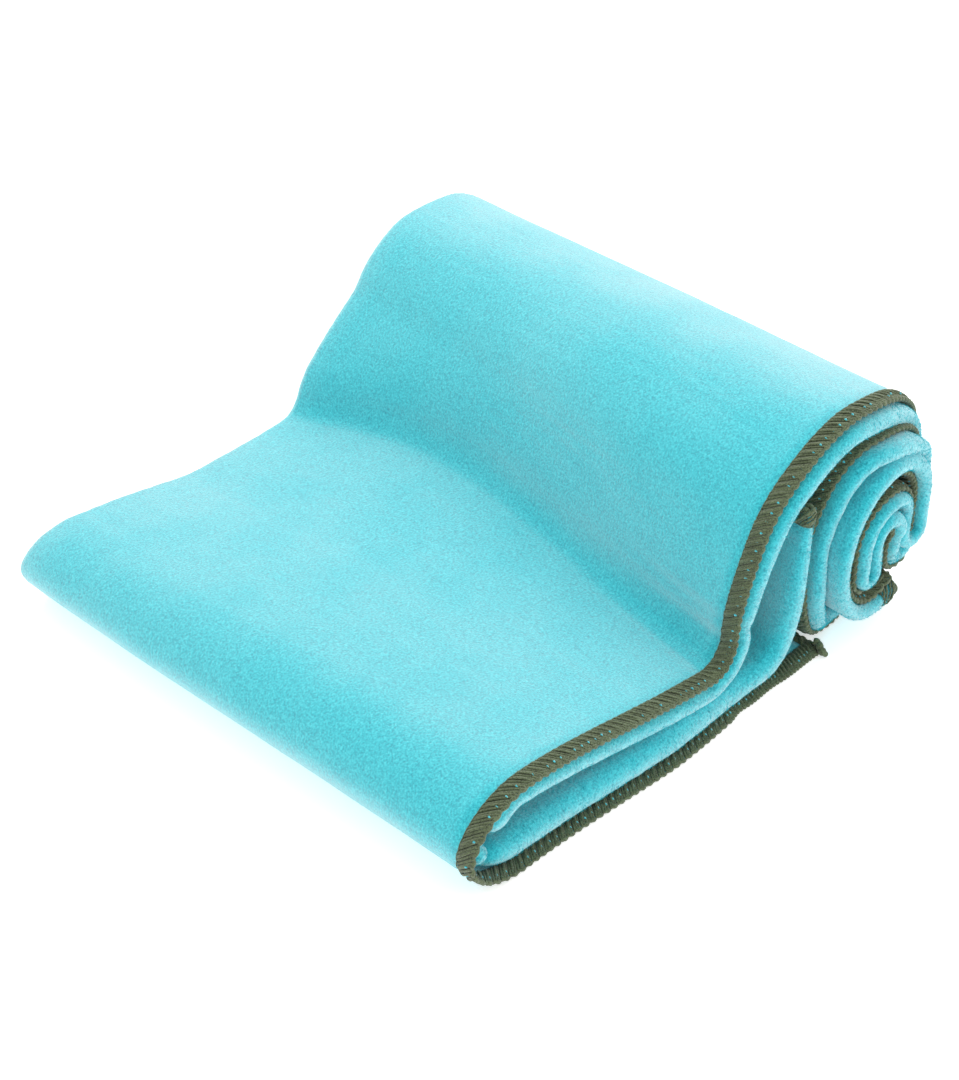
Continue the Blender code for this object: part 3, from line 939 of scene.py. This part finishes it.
def opal_panel(colours):
    """Opal light-table panel under the towel.

    To the eye it gives a pale, matt, faintly uneven floor with soft, weak shadows.
    """
    made, tree, shader, place = start_material("opal_light_panel")
    mottle = add_node(tree, "ShaderNodeTexNoise", [("Vector", place)], Scale=1 / 0.25, Detail=2.0)
    pale = linear(colours.floor)
    shade = (*(c * 0.985 for c in pale[:3]), 1.0)
    surface = add_node(
        tree, "ShaderNodeValToRGB", [("Fac", mottle.outputs["Fac"])], stops=((0.3, shade), (0.7, pale))
    )
    tree.links.new(surface.outputs["Color"], shader.inputs["Base Color"])
    shader.inputs["Roughness"].default_value = 0.9
    shader.inputs["Specular IOR Level"].default_value = 0.1
    shader.inputs["Emission Color"].default_value = (1, 1, 1, 1)
    shader.inputs["Emission Strength"].default_value = 0.5
    return made


# ---------------------------------------------------------------- operators

MADE = {}


def shared(name, make):
    """A material or a towel that several operators use, made once."""
    if name not in MADE:
        MADE[name] = make()
    return MADE[name]


def the_towel(scene):
    return shared("towel", lambda: Towel(in_millimetres(scene.towel_cloth)))


def cloth_finish(scene):
    return shared("cloth", lambda: suede_microfibre(scene.towel_colours, "suede_microfibre_aqua", 1.0))


def thread_finish(scene):
    return shared("thread", lambda: spun_polyester(scene.towel_colours))


class TOWEL_OT_cloth(bpy.types.Operator):
    """Make the folded and rolled cloth"""

    bl_idname = "towel.cloth"
    bl_label = "Cloth"

    def execute(self, context):
        scene = context.scene
        points, faces = cloth_mesh(the_towel(scene), in_millimetres(scene.towel_hem).width)
        cloth = new_piece("microfibre_cloth", points, faces, cloth_finish(scene))
        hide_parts("towel_cloth")
        return {"FINISHED"}


class TOWEL_OT_nap(bpy.types.Operator):
    """Make the short loose fibres that stand along the near fold"""

    bl_idname = "towel.nap"
    bl_label = "Nap"

    def execute(self, context):
        scene = context.scene
        points, faces = nap_fibres(the_towel(scene), 42000, 3.2)
        finish = suede_microfibre(scene.towel_colours, "loose_microfibre_nap", 0.25)
        new_piece("near_fold_nap", points, faces, finish)
        return {"FINISHED"}


class TOWEL_OT_overlock(bpy.types.Operator):
    """Make the three threads along each of the four edges, and the nap that they pull out"""

    bl_idname = "towel.overlock"
    bl_label = "Overlocked edges"

    def execute(self, context):
        scene = context.scene
        towel, hem = the_towel(scene), in_millimetres(scene.towel_hem)
        cloth, length = towel.cloth, towel.profile.length
        inset = 1.5
        edges = {
            "near_long_edge": Edge(towel, "near", 0.5, length - 0.5),
            "far_long_edge": Edge(towel, "far", 0.5, length - 0.5),
            "outer_short_edge": Edge(towel, "outer", inset, cloth.width - inset),
            "inner_short_edge": Edge(towel, "inner", inset, cloth.width - inset),
        }
        for seed, (name, edge) in enumerate(edges.items()):
            upper = looper_strands(edge, hem, cloth, 1, seed * 10 + 1)
            threads = {
                "upper_looper_thread": joined(upper, edge_chain(edge, hem)),
                "lower_looper_thread": looper_strands(edge, hem, cloth, -1, seed * 10 + 2),
                "needle_thread": needle_stitches(edge, hem, cloth),
            }
            for thread, (points, faces) in threads.items():
                node = f"{name}_{thread}"
                finish = thread_finish(scene)
                piece = new_piece(f"{node}_stitches", points, faces, finish)
                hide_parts(node)
        points, faces = nap_tufts(edges["near_long_edge"], cloth, hem)
        new_piece("near_long_edge_nap_tufts", points, faces, cloth_finish(scene))
        return {"FINISHED"}


class TOWEL_OT_thread_tail(bpy.types.Operator):
    """Make the loose end of the overlock chain at the outer corner"""

    bl_idname = "towel.thread_tail"
    bl_label = "Thread tail"

    def execute(self, context):
        scene = context.scene
        corner = the_towel(scene).middle(0.0, 0.0)
        share = np.linspace(0, 1, 48)
        x = -1.0 + 0.5 * np.sin(share * 7)
        y = 2.5 - 6.0 * share
        z = 3.8 - corner[2] + 0.5 * np.sin(share * 4) - 2.6 * share
        centre = (corner + np.stack((x, y, z), -1))[None]
        tangent = unit(np.gradient(centre, axis=1))
        up = np.broadcast_to(np.array((0.0, 0.0, 1.0)), centre.shape)
        across = unit(np.cross(tangent, up))
        bulge = 2.6 + 0.7 * np.abs(np.sin(share * 11))
        size = (bulge * (1 - share**6) ** 0.5 * (0.75 + 0.25 * share))[None]
        points, faces = tubes(centre, across, unit(np.cross(across, tangent)), size, size, sides=8)
        tail = new_piece("corner_thread_tail_chain", points, faces, thread_finish(scene))
        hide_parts("corner_thread_tail")
        return {"FINISHED"}


def area_light(name, size, power, place, target):
    lamp = bpy.data.lights.new(name, "AREA")
    lamp.shape = "DISK"
    lamp.size = size
    lamp.energy = power
    light = bpy.data.objects.new(name, lamp)
    light.location = place
    light.rotation_euler = (Vector(target) - Vector(place)).to_track_quat("-Z", "Y").to_euler()
    bpy.context.scene.collection.objects.link(light)


class TOWEL_OT_stage(bpy.types.Operator):
    """Make the floor, the lights and the camera"""

    bl_idname = "towel.stage"
    bl_label = "Stage"

    def execute(self, context):
        scene = context.scene
        studio = scene.towel_studio
        bpy.ops.mesh.primitive_plane_add(size=8, location=(0, 0, -0.0002))
        floor = context.object
        floor.name = "studio_floor"
        floor.data.materials.append(opal_panel(scene.towel_colours))
        world = bpy.data.worlds.new("studio_air")
        world.use_nodes = True
        world.node_tree.nodes["Background"].inputs["Color"].default_value = (1, 1, 1, 1)
        world.node_tree.nodes["Background"].inputs["Strength"].default_value = 0.94
        scene.world = world
        centre = (0, 0, 0.03)
        area_light("overhead_softbox", 1.2, studio.softbox_power, (0.5, 0.6, 1.0), centre)
        area_light("front_fill", 0.9, studio.fill_power, (0.5, -1.1, 0.8), centre)
        scene.view_settings.view_transform = "Standard"
        camera = bpy.data.objects.new("camera", bpy.data.cameras.new("camera"))
        camera.data.lens = studio.lens
        level, rise = math.cos(studio.elevation), math.sin(studio.elevation)
        back = Vector((math.sin(studio.azimuth) * level, -math.cos(studio.azimuth) * level, rise))
        camera.location = Vector(studio.target) + back * studio.distance
        camera.rotation_euler = (-back).to_track_quat("-Z", "Y").to_euler()
        scene.collection.objects.link(camera)
        scene.camera = camera
        return {"FINISHED"}


class TOWEL_PT_panel(bpy.types.Panel):
    """The towel's pieces, one button each"""

    bl_idname = "TOWEL_PT_panel"
    bl_label = "Quick Dry Towel"
    bl_space_type = "VIEW_3D"
    bl_region_type = "UI"
    bl_category = "Towel"

    def draw(self, context):
        for operator in OPERATORS:
            self.layout.operator(operator.bl_idname)


OPERATORS = (TOWEL_OT_cloth, TOWEL_OT_nap, TOWEL_OT_overlock, TOWEL_OT_thread_tail, TOWEL_OT_stage)
SETTINGS = {
    "towel_cloth": TowelClothSettings,
    "towel_hem": TowelHemSettings,
    "towel_colours": TowelColourSettings,
    "towel_studio": TowelStudioSettings,
}


def register():
    for part in (*SETTINGS.values(), *OPERATORS, TOWEL_PT_panel):
        bpy.utils.register_class(part)
    for name, settings in SETTINGS.items():
        setattr(bpy.types.Scene, name, PointerProperty(type=settings))


def unregister():
    for name in SETTINGS:
        delattr(bpy.types.Scene, name)
    for part in reversed((*SETTINGS.values(), *OPERATORS, TOWEL_PT_panel)):
        bpy.utils.unregister_class(part)


def declare_sheet(scene):
    """Fetch the shared towel; nothing is declared about the sheet, its threads or its nap."""
    towel = the_towel(scene)


def main():
    register()
    bpy.ops.towel.cloth()
    bpy.ops.towel.nap()
    bpy.ops.towel.overlock()
    bpy.ops.towel.thread_tail()
    bpy.ops.towel.stage()
    declare_sheet(bpy.context.scene)


if __name__ == "__main__":
    main()
